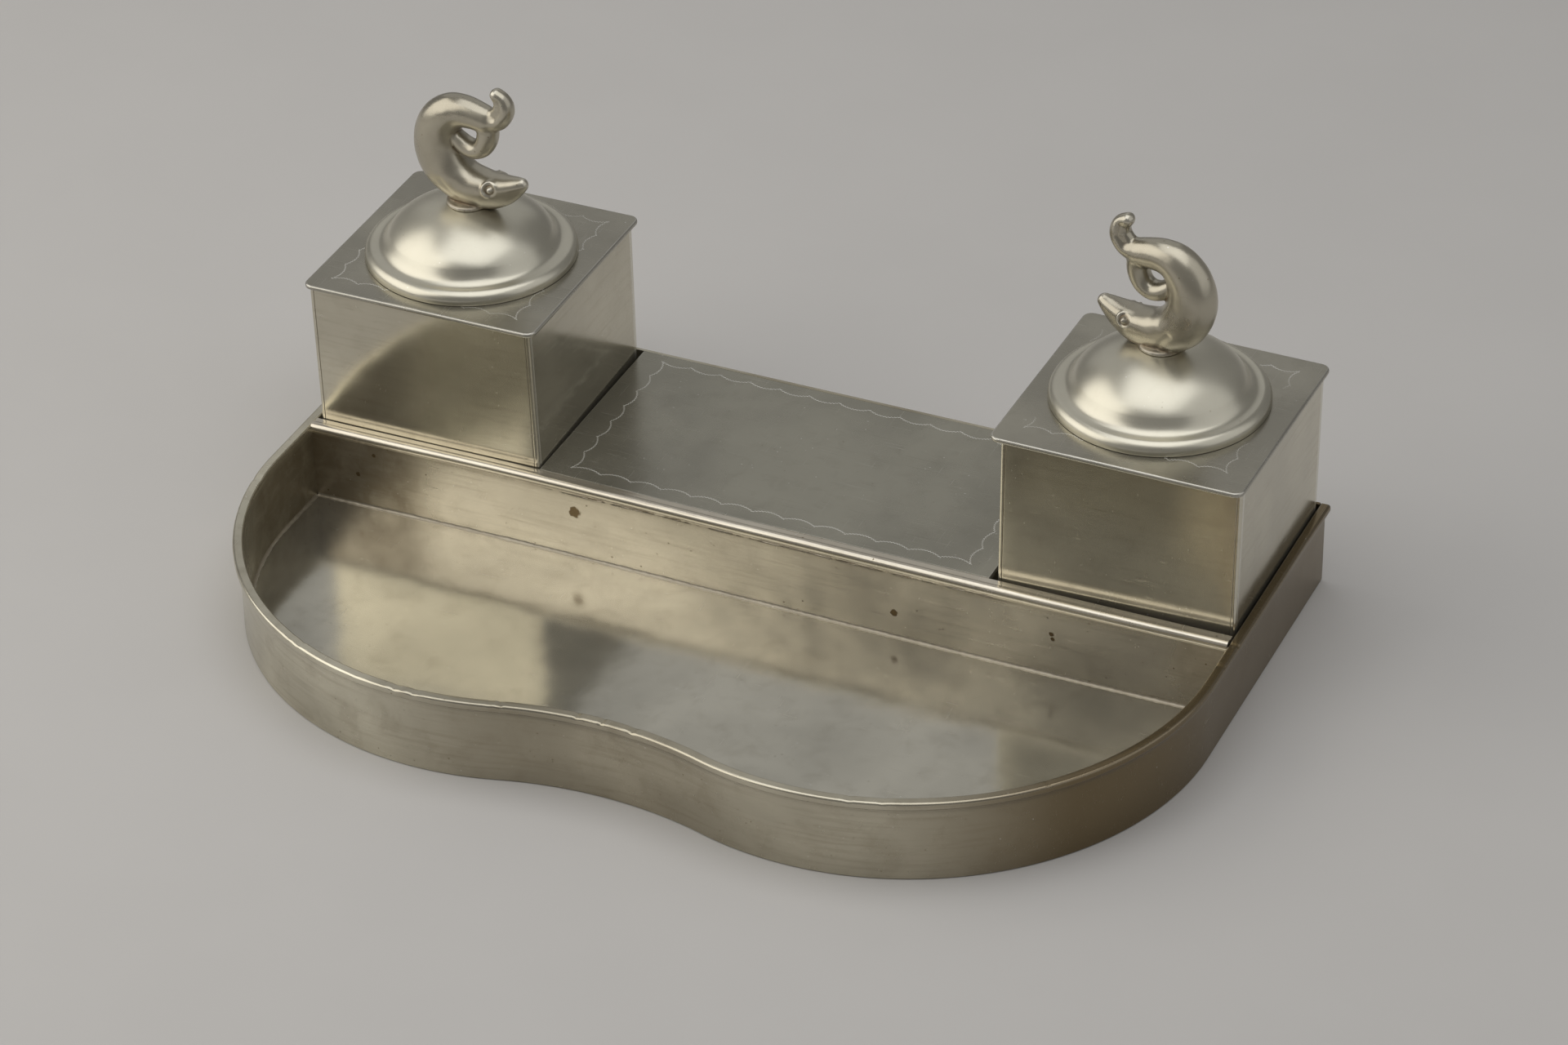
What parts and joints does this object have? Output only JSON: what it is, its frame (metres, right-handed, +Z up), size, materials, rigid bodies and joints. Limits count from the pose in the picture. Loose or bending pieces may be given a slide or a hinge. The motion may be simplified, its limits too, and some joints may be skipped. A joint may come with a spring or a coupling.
{
  "type": "desk inkstand",
  "caption": "Desk inkstand in old pewter: a lobed pen tray with a deck and sockets for square ink boxes with glass pots, domed lids and curled fish finials.",
  "frame": {"origin": "centre of the footprint on the underside", "axes": "+X to the right along the length, +Y to the rear, +Z up; the pen tray is at the front"},
  "size_m": [0.3, 0.1898, 0.1329],
  "materials": {
    "base_pewter": "old pewter, satin, brushed and tarnished",
    "deck_pewter": "old pewter, engraved and scratched",
    "box_pewter": "old pewter, satin, warm grey",
    "plate_pewter": "old pewter, rolled sheet, engraved",
    "lid_pewter": "old pewter, turned and polished",
    "finial_pewter": "old pewter, cast, rubbed bright on the high points",
    "liner_glass": "clear greenish glass"
  },
  "bodies": {
    "base": {"outer_wall": "base_pewter", "floor_plate": "base_pewter", "rear_wall": "base_pewter", "tray_partition": "base_pewter", "deck_plate": "deck_pewter", "left_socket_wall": "base_pewter", "right_socket_wall": "base_pewter"},
    "left_box": {"left_box_front": "box_pewter", "left_box_back": "box_pewter", "left_box_outer_side": "box_pewter", "left_box_inner_side": "box_pewter", "left_box_bottom": "box_pewter", "left_top_plate": "plate_pewter", "left_collar": "box_pewter"},
    "left_ink_pot": {"left_liner": "liner_glass"},
    "left_lid_body": {"left_lid": "lid_pewter", "left_lid_spigot": "lid_pewter", "left_finial": "finial_pewter", "left_finial_rivet": "lid_pewter"},
    "right_box": {"right_box_front": "box_pewter", "right_box_back": "box_pewter", "right_box_outer_side": "box_pewter", "right_box_inner_side": "box_pewter", "right_box_bottom": "box_pewter", "right_top_plate": "plate_pewter", "right_collar": "box_pewter"},
    "right_ink_pot": {"right_liner": "liner_glass"},
    "right_lid_body": {"right_lid": "lid_pewter", "right_lid_spigot": "lid_pewter", "right_finial": "finial_pewter", "right_finial_rivet": "lid_pewter"}
  },
  "joints": [
    {"name": "left_box_lift", "type": "slide", "parent": "base", "child": "left_box", "axis": [0, 0, 1], "range_m": [0, 0.04]},
    {"name": "left_ink_pot_lift", "type": "slide", "parent": "left_box", "child": "left_ink_pot", "axis": [0, 0, 1], "range_m": [0, 0.075]},
    {"name": "left_lid_lift", "type": "slide", "parent": "left_ink_pot", "child": "left_lid_body", "axis": [0, 0, 1], "range_m": [0, 0.03]},
    {"name": "right_box_lift", "type": "slide", "parent": "base", "child": "right_box", "axis": [0, 0, 1], "range_m": [0, 0.04]},
    {"name": "right_ink_pot_lift", "type": "slide", "parent": "right_box", "child": "right_ink_pot", "axis": [0, 0, 1], "range_m": [0, 0.075]},
    {"name": "right_lid_lift", "type": "slide", "parent": "right_ink_pot", "child": "right_lid_body", "axis": [0, 0, 1], "range_m": [0, 0.03]}
  ]
}
